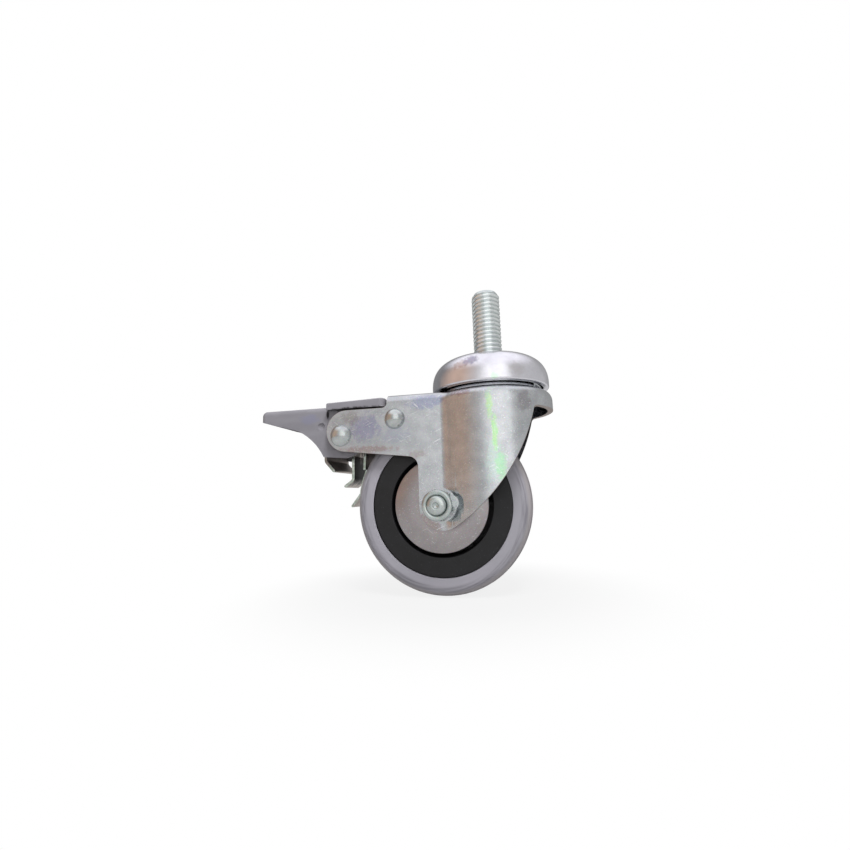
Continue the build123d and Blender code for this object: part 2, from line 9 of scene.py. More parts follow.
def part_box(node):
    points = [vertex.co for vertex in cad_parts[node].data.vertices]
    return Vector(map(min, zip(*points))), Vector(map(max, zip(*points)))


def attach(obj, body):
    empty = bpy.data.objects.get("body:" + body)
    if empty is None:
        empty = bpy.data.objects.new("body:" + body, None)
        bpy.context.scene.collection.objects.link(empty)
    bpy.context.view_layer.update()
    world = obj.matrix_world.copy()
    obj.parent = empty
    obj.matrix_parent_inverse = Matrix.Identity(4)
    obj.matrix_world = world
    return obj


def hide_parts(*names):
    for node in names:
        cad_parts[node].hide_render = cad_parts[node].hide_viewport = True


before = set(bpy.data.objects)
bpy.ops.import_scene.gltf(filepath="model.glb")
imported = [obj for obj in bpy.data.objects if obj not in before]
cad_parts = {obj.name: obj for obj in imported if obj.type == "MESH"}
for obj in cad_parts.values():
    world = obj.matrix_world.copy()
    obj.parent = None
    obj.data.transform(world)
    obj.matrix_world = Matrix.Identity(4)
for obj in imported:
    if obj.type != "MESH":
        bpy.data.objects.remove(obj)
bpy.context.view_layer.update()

# A swivel castor on a threaded stem. Shapes are in millimetres in the model's own frame: the origin is the
# middle of the swivel cap's top, +Z runs up the stem, the wheel trails at -X and the axle lies along Y.

MM = 0.001
TAU = 2 * np.pi


def extent(node):
    """Lowest and highest corner of a CAD node, in millimetres."""
    low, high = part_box(node)
    return np.array(low) / MM, np.array(high) / MM


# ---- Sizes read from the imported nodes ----

tyre_low, tyre_high = extent("tyre")
axle_x, _, axle_z = (tyre_low + tyre_high) / 2
wheel_radius = tyre_high[0] - axle_x
seat_radius = extent("wheel_core")[1][0] - axle_x
cover_radius = extent("left_cover")[1][0] - axle_x
cheek_inside = extent("left_cover")[1][1]
cheek_outside = extent("pedal")[1][1]  # the pedal's platform is as wide as the fork
pivot_x, _, pivot_z = sum(extent("pivot_rivet")) / 2
shoe_x, _, shoe_z = sum(extent("shoe_rivets")) / 2


# ---- Shapes ----

def rounded(corners, radius, steps):
    """A closed section with its corners eased: corner C becomes (1-t)^2 P + 2t(1-t) C + t^2 Q, with t from
    0 to 1, where P and Q lie on the two edges at C, one radius from it and at most 0.45 of the edge."""
    corners = np.array(corners, float)
    radius = np.broadcast_to(radius, len(corners)).astype(float)
    to_before = np.roll(corners, 1, axis=0) - corners
    to_after = np.roll(corners, -1, axis=0) - corners

    def cut(edge):
        length = np.linalg.norm(edge, axis=1)
        return corners + edge * (np.minimum(radius, 0.45 * length) / length)[:, None]

    t = np.linspace(0, 1, steps + 1)[None, :, None]
    curve = (1 - t) ** 2 * cut(to_before)[:, None]
    curve = curve + 2 * t * (1 - t) * corners[:, None] + t ** 2 * cut(to_after)[:, None]
    return curve.reshape(-1, 2)


def turned(section, sides):
    """A section of (radius, height) points turned about Z: (r cos a, r sin a, h), with a from 0 to 2 pi."""
    angle = np.linspace(0, TAU, sides, endpoint=False)
    radius, height = np.array(section, float).T
    return np.stack([
        radius[:, None] * np.cos(angle),
        radius[:, None] * np.sin(angle),
        height[:, None] + 0 * angle,
    ], axis=-1)


def along_y(grid, x, z):
    """A shape turned about Z laid over, so that its axis runs along Y through (x, z): (x+X, Z, z-Y)."""
    return np.stack([x + grid[..., 0], grid[..., 2], z - grid[..., 1]], axis=-1)


def flats(grid, across, turn):
    """A turned shape cut to a hexagon: each radius r at angle a becomes the smaller of r and
    (across / 2) / cos(((a - turn) mod 60) - 30 degrees)."""
    radius = np.hypot(grid[..., 0], grid[..., 1])
    angle = np.arctan2(grid[..., 1], grid[..., 0])
    side = np.mod(angle - radians(turn), TAU / 6) - TAU / 12
    limit = across / 2 / np.cos(side)
    scale = np.where(radius > limit, limit / np.maximum(radius, 1e-9), 1.0)
    return np.stack([grid[..., 0] * scale, grid[..., 1] * scale, grid[..., 2]], axis=-1)


def skin(grid):
    """Corners and four-sided faces of a grid of points that closes on itself across, and also along
    unless its first row is a single point, as at a pole."""
    rows, columns = grid.shape[:2]
    index = np.arange(rows * columns).reshape(rows, columns)
    pole = np.ptp(grid[0], axis=0).max() < 1e-6
    here = index[:-1] if pole else index
    ahead = index[1:] if pole else np.roll(index, -1, axis=0)
    faces = np.stack([here, np.roll(here, -1, axis=1), np.roll(ahead, -1, axis=1), ahead], axis=-1)
    return grid.reshape(-1, 3), faces.reshape(-1, 4)


def shade(mesh, crease):
    """Smooth shading that breaks at edges sharper than the crease angle, in degrees."""
    mesh.polygons.foreach_set("use_smooth", np.ones(len(mesh.polygons), bool))
    mesh.set_sharp_from_angle(angle=radians(crease))


def finished(name, mesh, body, materials, nodes):
    """Puts a mesh into the scene as a piece that rides on a body and stands for its CAD nodes."""
    for material in materials:
        mesh.materials.append(material)
    piece = bpy.data.objects.new(name, mesh)
    bpy.context.scene.collection.objects.link(piece)
    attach(piece, body)
    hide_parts(*nodes)
    return piece


def built(name, body, material, grids, nodes, crease=40):
    """A piece made of one or more closed grids of points, in millimetres, with its poles closed."""
    corners, faces, count = [], [], 0
    for grid in grids:
        points, quads = skin(grid)
        corners.append(points)
        faces.append(quads + count)
        count += len(points)
    mesh = bpy.data.meshes.new(name)
    mesh.from_pydata(np.concatenate(corners) * MM, [], np.concatenate(faces).tolist())
    shell = bmesh.new()
    shell.from_mesh(mesh)
    bmesh.ops.remove_doubles(shell, verts=shell.verts, dist=1e-7)
    bmesh.ops.recalc_face_normals(shell, faces=shell.faces)
    shell.to_mesh(mesh)
    shell.free()
    shade(mesh, crease)
    return finished(name, mesh, body, [material], nodes)


def pressed(name, node, body, materials, ease, cut_edge=None, crease=30):
    """A CAD node's own shape with its flat faces joined and its edges eased by a bevel of that many
    millimetres. cut_edge says, from the faces' middles and normals, which faces take the second material.
    Then only the borders of those faces are eased, and the bevel takes their material too."""
    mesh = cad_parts[node].data.copy()
    mesh.name = name
    mesh.materials.clear()
    shell = bmesh.new()
    shell.from_mesh(mesh)
    bmesh.ops.remove_doubles(shell, verts=shell.verts, dist=1e-6)
    bmesh.ops.dissolve_limit(shell, angle_limit=radians(0.4), verts=shell.verts, edges=shell.edges)
    shell.to_mesh(mesh)
    shell.free()
    shade(mesh, crease)
    piece = finished(name, mesh, body, materials, [node])
    bevel = piece.modifiers.new("eased edges", "BEVEL")
    bevel.width = ease * MM
    bevel.segments = 3
    bevel.limit_method = "ANGLE"
    bevel.angle_limit = radians(crease)
    bevel.harden_normals = True
    if cut_edge:
        count = len(mesh.polygons)
        middle, normal = np.empty(3 * count), np.empty(3 * count)
        mesh.polygons.foreach_get("center", middle)
        mesh.polygons.foreach_get("normal", normal)
        chosen = cut_edge(middle.reshape(-1, 3) / MM, normal.reshape(-1, 3)).astype(int)
        mesh.polygons.foreach_set("material_index", chosen)
        corners, edge = np.empty(count, int), np.empty(len(mesh.loops), int)
        mesh.polygons.foreach_get("loop_total", corners)
        mesh.loops.foreach_get("edge_index", edge)
        cut_sides = np.bincount(edge, weights=np.repeat(chosen, corners), minlength=len(mesh.edges))
        border = mesh.attributes.new("bevel_weight_edge", "FLOAT", "EDGE")
        border.data.foreach_set("value", (cut_sides == 1).astype(np.float32))
        bevel.limit_method = "WEIGHT"
        bevel.material = 1
    normals = piece.modifiers.new("flat faces stay flat", "WEIGHTED_NORMAL")
    normals.keep_sharp = True
    return piece


# ---- Materials ----

def colour(code):
    """An sRGB hex value as linear red, green, blue and alpha: c / 12.92 up to 0.04045,
    else ((c + 0.055) / 1.055) ^ 2.4."""
    c = np.array([int(code[i:i + 2], 16) for i in (1, 3, 5)]) / 255
    linear = np.where(c <= 0.04045, c / 12.92, ((c + 0.055) / 1.055) ** 2.4)
    return (*linear.tolist(), 1.0)


def add(tree, kind, inputs=None, out=0, **settings):
    """Adds a node with its settings, and values or links for its inputs, and gives back the named or
    numbered output."""
    node = tree.nodes.new("ShaderNode" + kind)
    for name, value in settings.items():
        setattr(node, name, value)
    sockets = [socket for socket in node.inputs if socket.enabled]
    for key, value in (inputs or {}).items():
        socket = sockets[key] if isinstance(key, int) else next(s for s in sockets if s.name == key)
        if isinstance(value, bpy.types.NodeSocket):
            tree.links.new(value, socket)
        else:
            socket.default_value = value
    outputs = [socket for socket in node.outputs if socket.enabled]
    if not outputs:
        return node
    return outputs[out] if isinstance(out, int) else next(s for s in outputs if s.name == out)


def material(name, view):
    """A new material: its node tree, and the object's own coordinates in millimetres."""
    made = bpy.data.materials.new(name)
    made.use_nodes = True
    made.node_tree.nodes.clear()
    made.diffuse_color = colour(view)
    tree = made.node_tree
    metres = add(tree, "TexCoord", out="Object")
    return made, tree, add(tree, "VectorMath", {0: metres, 1: (1000, 1000, 1000)}, operation="MULTIPLY")


def blotches(tree, at, size, low, high, start=0.0, end=1.0, detail=2.0):
    """Soft noise with blobs about that many millimetres across. Its values from low to high become start
    to end."""
    noise = add(tree, "TexNoise", {"Vector": at, "Scale": 1 / size, "Detail": detail, "Roughness": 0.55})
    return add(tree, "MapRange", {
        "Value": noise, "From Min": low, "From Max": high, "To Min": start, "To Max": end,
    }, interpolation_type="SMOOTHSTEP")


def film_or_painted_light(tree, at, skin_colour, place, reach, code, share, ragged=0.22):
    """A patch of another colour round a place on the skin, used both for films and for painted light and
    shade. With d the distance from the place in units of the reach along each axis, plus ragged noise, it
    covers share of the colour below it at d = 0.4 and nothing at d = 1."""
    offset = add(tree, "VectorMath", {0: at, 1: place}, operation="SUBTRACT")
    scaled = add(tree, "VectorMath", {0: offset, 1: reach}, operation="DIVIDE")
    distance = add(tree, "VectorMath", {0: scaled}, operation="LENGTH", out="Value")
    noise = blotches(tree, at, 1.6, 0.3, 0.7, -ragged, ragged, 4.0)
    uneven = add(tree, "Math", {0: distance, 1: noise}, operation="ADD")
    cover = add(tree, "MapRange", {
        "Value": uneven, "From Min": 1.0, "From Max": 0.4, "To Min": 0.0, "To Max": share,
    }, interpolation_type="SMOOTHSTEP")
    return add(tree, "Mix", {"Factor": cover, "A": skin_colour, "B": colour(code)}, data_type="RGBA")


def zinc(name, light, dark, *, grain, cloud, rough, film_and_painted_light_patches=(), flecks=0.0, groove=None):
    """Electro-plated zinc on pressed or turned steel: a grey metal with a fine frosted grain, light flecks
    painted as glints of single crystals, soft clouds where the bath left it thicker, and, where it is
    passivated, thin coloured films, given together with patches of painted light and shade. A groove is a
    depth and a crest, as radii about Z: shade is painted into it, darker from the crest down to the depth."""
    made, tree, at = material(name, light)
    clouds = blotches(tree, at, cloud, 0.3, 0.7, detail=3.0)
    skin_colour = add(tree, "Mix", {"Factor": clouds, "A": colour(dark), "B": colour(light)},
                      data_type="RGBA")
    for place, reach, code, share in film_and_painted_light_patches:
        skin_colour = film_or_painted_light(tree, at, skin_colour, place, reach, code, share)
    if groove:
        across = add(tree, "VectorMath", {0: at, 1: (1, 1, 0)}, operation="MULTIPLY")
        radius = add(tree, "VectorMath", {0: across}, operation="LENGTH", out="Value")
        # Painted shade: darker from the groove's crest down to its depth.
        sunk = add(tree, "MapRange", {"Value": radius, "From Min": groove[1], "From Max": groove[0]})
        skin_colour = add(tree, "Mix", {"Factor": sunk, "A": skin_colour, "B": colour("#c9d1d0")},
                          data_type="RGBA")
    crystals = add(tree, "TexNoise", {
        "Vector": at, "Scale": 1 / grain, "Detail": 2.0, "Roughness": 0.7,
    }, out="Color")
    skin_colour = add(tree, "Mix", {"Factor": 0.4, "A": skin_colour, "B": crystals},
                      data_type="RGBA", blend_type="OVERLAY")
    if flecks:
        # Painted glints: light flecks where single crystals would catch the light.
        painted_glints = blotches(tree, at, 0.42, 0.65, 0.78, 0.0, flecks, 1.0)
        skin_colour = add(tree, "Mix", {"Factor": painted_glints, "A": skin_colour, "B": colour("#f4f6fa")},
                          data_type="RGBA")
        for turn in ((0.0, 0.7, 0.0), (0.0, -0.4, 0.0)):
            along = add(tree, "Mapping", {"Vector": at, "Rotation": turn, "Scale": (14.0, 1.0, 1.0)},
                        vector_type="TEXTURE")
            scratches = blotches(tree, along, 0.3, 0.79, 0.82, 0.0, flecks, 0.0)
            skin_colour = add(tree, "Mix", {"Factor": scratches, "A": skin_colour, "B": colour("#eef0f2")},
                              data_type="RGBA")
    relief = add(tree, "Bump", {
        "Strength": 0.4, "Distance": 0.02 * MM, "Height": blotches(tree, at, grain, 0.2, 0.8),
    })
    shader = add(tree, "BsdfPrincipled", {
        "Base Color": skin_colour, "Metallic": 1.0, "Roughness": rough, "Normal": relief,
    })
    add(tree, "OutputMaterial", {"Surface": shader})
    return made


# Coloured films on the fork, each as (place, reach, colour, share): violet on the arm, at the crown's corner
# and low on the round head, and red-brown along the arm's lower edge, at the crown's bend and by the axle.
# Painted light is listed with them: a greyer patch at the front of the round head is painted shade, and a
# yellow-green streak down its side is partly a passivation film and partly a painted glint.
fork_films_and_painted_light = [
    ((-41.5, -15.4, -24.0), (7.0, 2.0, 5.6), "#9493ba", 0.5),
    ((-46.5, -15.4, -20.6), (4.5, 2.0, 3.0), "#a59b97", 0.45),
    ((-20.5, -15.4, -16.5), (8.5, 2.0, 3.4), "#949cc2", 0.5),
    ((-31.0, -15.4, -27.0), (7.0, 2.0, 4.0), "#aeb3c4", 0.45),
    ((-40.0, -15.4, -31.5), (13.0, 2.0, 1.5), "#a88b82", 0.5),
    ((-24.0, -15.4, -34.0), (4.0, 2.0, 1.8), "#a5928d", 0.4),
    ((-22.0, -15.4, -56.5), (6.5, 3.0, 4.0), "#9a817b", 0.6),
    ((-8.5, -18.8, -15.2), (6.0, 4.0, 1.2), "#998891", 0.65),
    # Painted shade: the front of the round head is darker.
    ((11.5, -18.0, -19.0), (3.4, 3.5, 4.4), "#958c92", 0.5),
    ((8.4, -19.0, -38.0), (1.8, 3.0, 3.0), "#9599b8", 0.5),
    # The yellow-green streak, to line 332: partly a passivation film, partly a painted glint.
    ((1.0, -21.0, -37.5), (3.4, 3.0, 8.5), "#cbe2d9", 0.5),
    ((0.6, -21.0, -20.0), (1.3, 3.0, 6.5), "#b7e59f", 0.6),
    ((1.9, -21.0, -29.0), (1.2, 3.0, 7.0), "#afe999", 0.65),
    ((3.3, -20.7, -38.5), (2.3, 3.0, 6.0), "#a9e6b0", 0.6),
]
# Films on the cap, as (place, reach, colour, share): a brown stain and a violet film at its left, a darker
# grey at its right that is painted shade, and a green patch low at the front that is partly a passivation
# film and partly a painted glint.
cap_films_and_painted_light = [
    ((-7.5, -17.4, -5.8), (4.4, 4.0, 2.0), "#bfaba4", 0.7),
    ((-4.6, -17.6, -5.0), (3.4, 3.5, 2.4), "#9f9aab", 0.85),
    ((9.5, -17.0, -8.5), (3.5, 4.0, 3.0), "#c9c2c0", 0.35),
    ((2.5, -20.0, -11.0), (1.8, 2.0, 1.4), "#c4f3c9", 0.5),
]
# Painted shade: near-black patches over the spring parts low by the leaf and high inside the pedal.
spring_painted_shade = [
    ((-48.5, 0.0, -38.0), (5.0, 40.0, 7.5), "#1b1f22", 0.95),
    ((-53.0, 0.0, -27.5), (10.0, 40.0, 5.0), "#202326", 0.95),
]

zinc_stem = zinc("bright zinc on a rolled thread", "#f6fafa", "#e8eeed",
                 grain=0.3, cloud=4.0, rough=0.2, groove=(4.4, 4.95))
zinc_cap = zinc("zinc plate on a drawn cap", "#f3f2f8", "#e2e1e8",
                grain=0.3, cloud=6.0, rough=0.19, film_and_painted_light_patches=cap_films_and_painted_light, flecks=0.35)
zinc_fork = zinc("passivated zinc plate on pressed steel", "#cfd1d4", "#bfc2c5",
                 grain=0.32, cloud=4.0, rough=0.2, film_and_painted_light_patches=fork_films_and_painted_light, flecks=0.7)
zinc_fastener = zinc("bright zinc on a cold-headed bolt", "#cad1cf", "#bac1bf",
                     grain=0.25, cloud=3.0, rough=0.24)
zinc_rivet = zinc("zinc plate on a peened rivet", "#cdd2d1", "#bcc0c0",
                  grain=0.3, cloud=2.5, rough=0.2)
zinc_cover = zinc("tumbled zinc plate on a pressed disc", "#b1abac", "#a8a2a3",
                  grain=0.3, cloud=6.0, rough=0.36, flecks=0.5)
# The dark on the spring parts comes from painted shade.
zinc_spring = zinc("zinc on folded spring steel with painted shade", "#cfc5bd", "#b9afa8",
                   grain=0.3, cloud=4.0, rough=0.36, film_and_painted_light_patches=spring_painted_shade)
# The shorn edges round the flap are darkened to brown-grey: painted shade.
zinc_shorn = zinc("bright zinc on a shorn spring edge", "#dce6dc", "#a6b0a6",
                  grain=0.3, cloud=1.5, rough=0.24,
                  film_and_painted_light_patches=[((-58.0, 0.0, -34.0), (5.0, 40.0, 5.0), "#8f8780", 0.9)])
bearing_steel = zinc("ground bearing steel", "#c2c2c2", "#a8a8a8",
                     grain=0.3, cloud=5.0, rough=0.22)


def sheared_edge():
    """The cut edge of the steel sheet: torn and rolled by the die, so the plating over it is thin and
    brownish."""
    made, tree, at = material("plated over a sheared steel edge", "#a08a80")
    stretched = add(tree, "Mapping", {"Vector": at, "Scale": (1.0, 0.3, 1.0)})
    streaks = blotches(tree, stretched, 0.5, 0.3, 0.7, detail=3.0)
    skin_colour = add(tree, "Mix", {"Factor": streaks, "A": colour("#978a84"), "B": colour("#aa9d97")},
                      data_type="RGBA")
    relief = add(tree, "Bump", {"Strength": 0.5, "Distance": 0.04 * MM, "Height": streaks})
    shader = add(tree, "BsdfPrincipled", {
        "Base Color": skin_colour, "Metallic": 1.0, "Roughness": 0.42, "Normal": relief,
    })
    add(tree, "OutputMaterial", {"Surface": shader})
    return made


def moulded_core():
    """Black polypropylene: satin from the mould, with fine pale dust caught in its grain."""
    made, tree, at = material("moulded black polypropylene", "#1a1a1d")
    clouds = blotches(tree, at, 5.0, 0.35, 0.7, detail=3.0)
    skin_colour = add(tree, "Mix", {"Factor": clouds, "A": colour("#0c0c0e"), "B": colour("#141417")},
                      data_type="RGBA")
    dust = blotches(tree, at, 0.4, 0.68, 0.78, 0.0, 0.4, 1.0)
    skin_colour = add(tree, "Mix", {"Factor": dust, "A": skin_colour, "B": colour("#55565b")},
                      data_type="RGBA")
    relief = add(tree, "Bump", {"Strength": 0.3, "Distance": 0.03 * MM,
                                "Height": blotches(tree, at, 0.4, 0.2, 0.8)})
    shader = add(tree, "BsdfPrincipled", {
        "Base Color": skin_colour, "Roughness": 0.5, "IOR": 1.49, "Normal": relief,
    })
    add(tree, "OutputMaterial", {"Surface": shader})
    return made


def soft_tread():
    """Grey thermoplastic rubber: matt and slightly bloomed, smudged with dirt where the shoulder starts to
    roll, and rubbed a warmer grey on the tread itself."""
    made, tree, at = material("grey thermoplastic rubber", "#aba9b1")
    centred = add(tree, "VectorMath", {0: at, 1: (-axle_x, 0, -axle_z)}, operation="ADD")
    disc = add(tree, "VectorMath", {0: centred, 1: (1, 0, 1)}, operation="MULTIPLY")
    radius = add(tree, "VectorMath", {0: disc}, operation="LENGTH", out="Value")
    clouds = blotches(tree, at, 9.0, 0.3, 0.7, detail=1.0)
    skin_colour = add(tree, "Mix", {"Factor": clouds, "A": colour("#a8a6ae"), "B": colour("#afacb5")},
                      data_type="RGBA")
    rolling = add(tree, "MapRange", {
        "Value": radius, "From Min": wheel_radius - 2.3, "From Max": wheel_radius - 1.2,
    }, interpolation_type="SMOOTHSTEP")
    skin_colour = add(tree, "Mix", {"Factor": rolling, "A": skin_colour, "B": colour("#b0abae")},
                      data_type="RGBA")
    ring = add(tree, "MapRange", {
        "Value": radius, "From Min": wheel_radius - 4.2, "From Max": wheel_radius - 3.2,
    }, interpolation_type="SMOOTHSTEP")
    inside_shoulder = add(tree, "Math", {0: ring, 1: rolling}, operation="SUBTRACT")
    along_ring = add(tree, "CombineXYZ", {"X": radius})
    around = add(tree, "VectorMath", {0: centred, 1: (0.08, 0.3, 0.08), 2: along_ring},
                 operation="MULTIPLY_ADD")
    patchy = blotches(tree, around, 0.7, 0.36, 0.7, 0.0, 0.65, 4.0)
    smudge = add(tree, "Math", {0: inside_shoulder, 1: patchy}, operation="MULTIPLY")
    skin_colour = add(tree, "Mix", {"Factor": smudge, "A": skin_colour, "B": colour("#67646c")},
                      data_type="RGBA")
    relief = add(tree, "Bump", {"Strength": 0.35, "Distance": 0.03 * MM,
                                "Height": blotches(tree, at, 0.35, 0.2, 0.8)})
    shader = add(tree, "BsdfPrincipled", {
        "Base Color": skin_colour, "Roughness": 0.6, "IOR": 1.5, "Normal": relief,
    })
    add(tree, "OutputMaterial", {"Surface": shader})
    return made


def moulded_pedal():
    """Grey glass-filled nylon: a satin moulded skin with faint flow marks that run along the lever, painted
    shadow under the platform's edge and painted shade in the slot, both near black, and a violet rub on each
    cheek."""
    made, tree, at = material("moulded grey nylon", "#918f96")
    flow = add(tree, "Mapping", {"Vector": at, "Scale": (0.3, 1.0, 1.0)})
    clouds = blotches(tree, flow, 3.0, 0.3, 0.7, detail=4.0)
    skin_colour = add(tree, "Mix", {"Factor": clouds, "A": colour("#8c8a91"), "B": colour("#95939a")},
                      data_type="RGBA")
    for side in (1, -1):
        # Painted shadow under the platform's edge, then painted shade in the slot, both near black.
        skin_colour = film_or_painted_light(tree, at, skin_colour,
                            (-46.5, 14.2 * side, -17.1), (13.0, 2.2, 0.8), "#0c0c0d", 0.97)
        skin_colour = film_or_painted_light(tree, at, skin_colour,
                            (-56.0, 12.6 * side, -18.2), (0.75, 1.0, 2.0), "#0c0c0d", 0.95, 0.1)
        skin_colour = film_or_painted_light(tree, at, skin_colour,
                            (-62.8, 12.8 * side, -19.6), (4.5, 1.0, 2.2), "#8a8ba6", 0.5)
    relief = add(tree, "Bump", {"Strength": 0.35, "Distance": 0.03 * MM,
                                "Height": blotches(tree, at, 0.35, 0.2, 0.8)})
    shader = add(tree, "BsdfPrincipled", {
        "Base Color": skin_colour, "Roughness": 0.5, "IOR": 1.53, "Normal": relief,
    })
    add(tree, "OutputMaterial", {"Surface": shader})
    return made


steel_edge = sheared_edge()
core_plastic = moulded_core()
tread_rubber = soft_tread()
pedal_plastic = moulded_pedal()


# ---- Stem and king pin ----

def threaded_pin():
    """The king pin's outline turned about Z, with the thread cut into its stem. At height z and angle a the
    phase is p = z / pitch - a / 2 pi, and g is (|2 (p mod 1) - 1| - crest) / flank, held between 0 and 1.
    The radius loses depth x (3g^2 - 2g^3). The loss fades out at the foot of the stem, and the radius stays
    inside the cone of the end's chamfer."""
    pitch, depth, crest, flank = 1.5, 0.5, 0.2, 0.7
    outer, top, sides = 5.0, extent("king_pin")[1][2], 96
    end_height, end_inset, end_slope = 1.5, 1.1, 0.75
    fade_start, fade_height = 0.1, 0.8
    height = np.concatenate([
        np.linspace(top, top - end_height, 16)[:-1], np.linspace(top - end_height, 0.0, 270),
    ])
    angle = np.linspace(0, TAU, sides, endpoint=False)
    z = height[:, None]
    phase = z / pitch - angle / TAU
    groove = np.clip((np.abs(2 * np.mod(phase, 1) - 1) - crest) / flank, 0, 1)
    groove = 3 * groove ** 2 - 2 * groove ** 3
    fade = np.clip((z - fade_start) / fade_height, 0, 1)
    radius = outer - depth * groove * fade
    radius = np.minimum(radius, outer - end_inset + end_slope * (top - z))
    stem = np.stack([radius * np.cos(angle), radius * np.sin(angle), z + 0 * angle], axis=-1)
    mark, mark_radius, mark_rim = top - 0.12, 3.2, 3.5
    end = turned([(0, mark), (mark_radius, mark), (mark_rim, top)], sides)
    neck, collar, shank, foot_neck, foot_head = 5.4, 7.2, 6.2, 5.0, 7.6
    foot = turned([
        (neck, -0.02), (neck, -2.0), (collar, -2.0), (collar, -3.4), (shank, -3.4), (shank, -12.0),
        (foot_neck, -12.0), (foot_neck, -13.0), (foot_head, -13.0), (foot_head, -14.4),
        (6.6, -15.3), (4.6, -15.6), (0, -15.6),
    ], sides)
    return np.concatenate([end, stem, foot])


built("threaded_king_pin", "head", zinc_stem, [threaded_pin()], ["king_pin"], crease=50)


# ---- Swivel cap ----

def cap_section():
    """Half of the drawn cap: flat top, a shoulder that is a cubic Bezier curve, straight side, rolled lip
    and the hollow inside."""
    low, high = extent("swivel_cap")
    radius, height, wall, flat, roll = high[0], -low[2], 2.0, 7.5, 0.7
    shoulder_reach, shoulder_rise, side_height, hole_radius = 0.66, 0.65, 2.0, 5.45
    t = np.linspace(0, 1, 25)[:, None]

    def shoulder(edge, top, side_top):
        p = np.array([(flat, top), (flat + shoulder_reach * (edge - flat), top),
                      (edge, side_top + shoulder_rise * (top - side_top)), (edge, side_top)])
        return (1 - t) ** 3 * p[0] + 3 * t * (1 - t) ** 2 * p[1] + 3 * t ** 2 * (1 - t) * p[2] + t ** 3 * p[3]

    outside = shoulder(radius, 0.0, side_height - height)
    inside = shoulder(radius - wall, -wall, side_height - height)[::-1]
    quarter = np.linspace(0, TAU / 4, 5)
    lip = np.stack([radius - roll + roll * np.cos(quarter), roll - height - roll * np.sin(quarter)], axis=-1)
    mouth = np.array([(radius - wall + 0.2, -height), (radius - wall, 0.2 - height)])
    hole = np.array([(hole_radius, -wall), (hole_radius, -0.15), (hole_radius + 0.15, 0.0)])
    return np.concatenate([outside, lip, mouth, inside, hole])


built("drawn_swivel_cap", "head", zinc_cap,
      [turned(cap_section(), 192)], ["swivel_cap"], crease=35)


# ---- Fork ----

def fork_cut_edges(middle, normal):
    """Faces of the sheet's thickness, below the crown's bend: on the flat cheeks the ones that don't look
    along Y, and on the round head, whose skin stands upright, the ones that look up or down and not at all
    along Y."""
    head_back_x, head_inner_radius, seat_rim_radius, bend_foot_z = -13, 19, 5, -16.4
    cheek_across, head_across, head_upward = 0.3, 0.02, 0.03
    across, upward = np.abs(normal[:, 1]), np.abs(normal[:, 2])
    head = (middle[:, 0] > head_back_x) & (np.hypot(middle[:, 0], middle[:, 1]) > head_inner_radius)
    square = np.where(head, (across < head_across) & (upward > head_upward), across < cheek_across)
    seat = np.hypot(middle[:, 0] - axle_x, middle[:, 2] - axle_z) < seat_rim_radius
    return (middle[:, 2] < bend_foot_z) & square & ~seat


pressed("pressed_fork", "fork", "fork", [zinc_fork, steel_edge], 0.45, fork_cut_edges)


# ---- Wheel ----

def tyre_section():
    """Half of the tread: crowned face, round shoulder, flat side and the key that locks it to the core."""
    half, crown, face_end = tyre_high[1], 0.65, 2.6
    corner, corner_depth, key_depth, key_side, ease = 3.2, 3.35, 1.55, 6.45, 0.15
    edge = wheel_radius - crown
    across = np.linspace(-half, half, 41)
    tread = np.stack([edge + crown * (1 - across ** 2 / half ** 2), across], axis=-1)
    keep = np.abs(across) < half - face_end
    turn = np.linspace(0, TAU / 4, 9)
    shoulder = np.stack([
        edge - corner + corner_depth * np.cos(turn), half - corner + corner * np.sin(turn),
    ], axis=-1)
    seat, key = seat_radius + 0.05, seat_radius - key_depth
    inner = rounded([
        (seat, half), (seat, key_side), (key, key_side), (key, -key_side), (seat, -key_side), (seat, -half),
    ], ease, 2)
    return np.concatenate([tread[keep], shoulder, inner, shoulder[::-1] * [1, -1]])


built("soft_tread", "wheel", tread_rubber,
      [along_y(turned(tyre_section(), 192), axle_x, axle_z)], ["tyre"], crease=50)
pressed("moulded_core", "wheel_core", "wheel", [core_plastic], 0.25)


def cover_section(side):
    """Half of a pressed disc: flat where the cheek clamps it, dished, with an eased rim."""
    thickness, dish, bore, flat = 0.8, 1.3, 4.05, 11.5
    bore_ease, bend, rim_ease = 0.1, 2.0, 0.35
    outside, inside = cheek_inside, cheek_inside - thickness
    outline = [(bore, outside), (flat, outside), (cover_radius, outside - dish),
               (cover_radius, inside - dish), (flat, inside), (bore, inside)]
    eases = [bore_ease, bend, rim_ease, rim_ease, bend, bore_ease]
    return rounded(np.array(outline) * [1, side], eases, 5)


for side, name in ((1, "left"), (-1, "right")):
    built(f"{name}_dished_cover", "fork", zinc_cover,
          [along_y(turned(cover_section(side), 144), axle_x, axle_z)], [f"{name}_cover"])


# ---- Axle bolt and nut ----

hex_across = 9.0
hex_corner = 5.15
hex_turn = 15.0
bolt_end = -extent("axle_bolt")[0][1]
nut_end = -extent("axle_nut")[0][1]
head_end = extent("axle_bolt")[1][1]


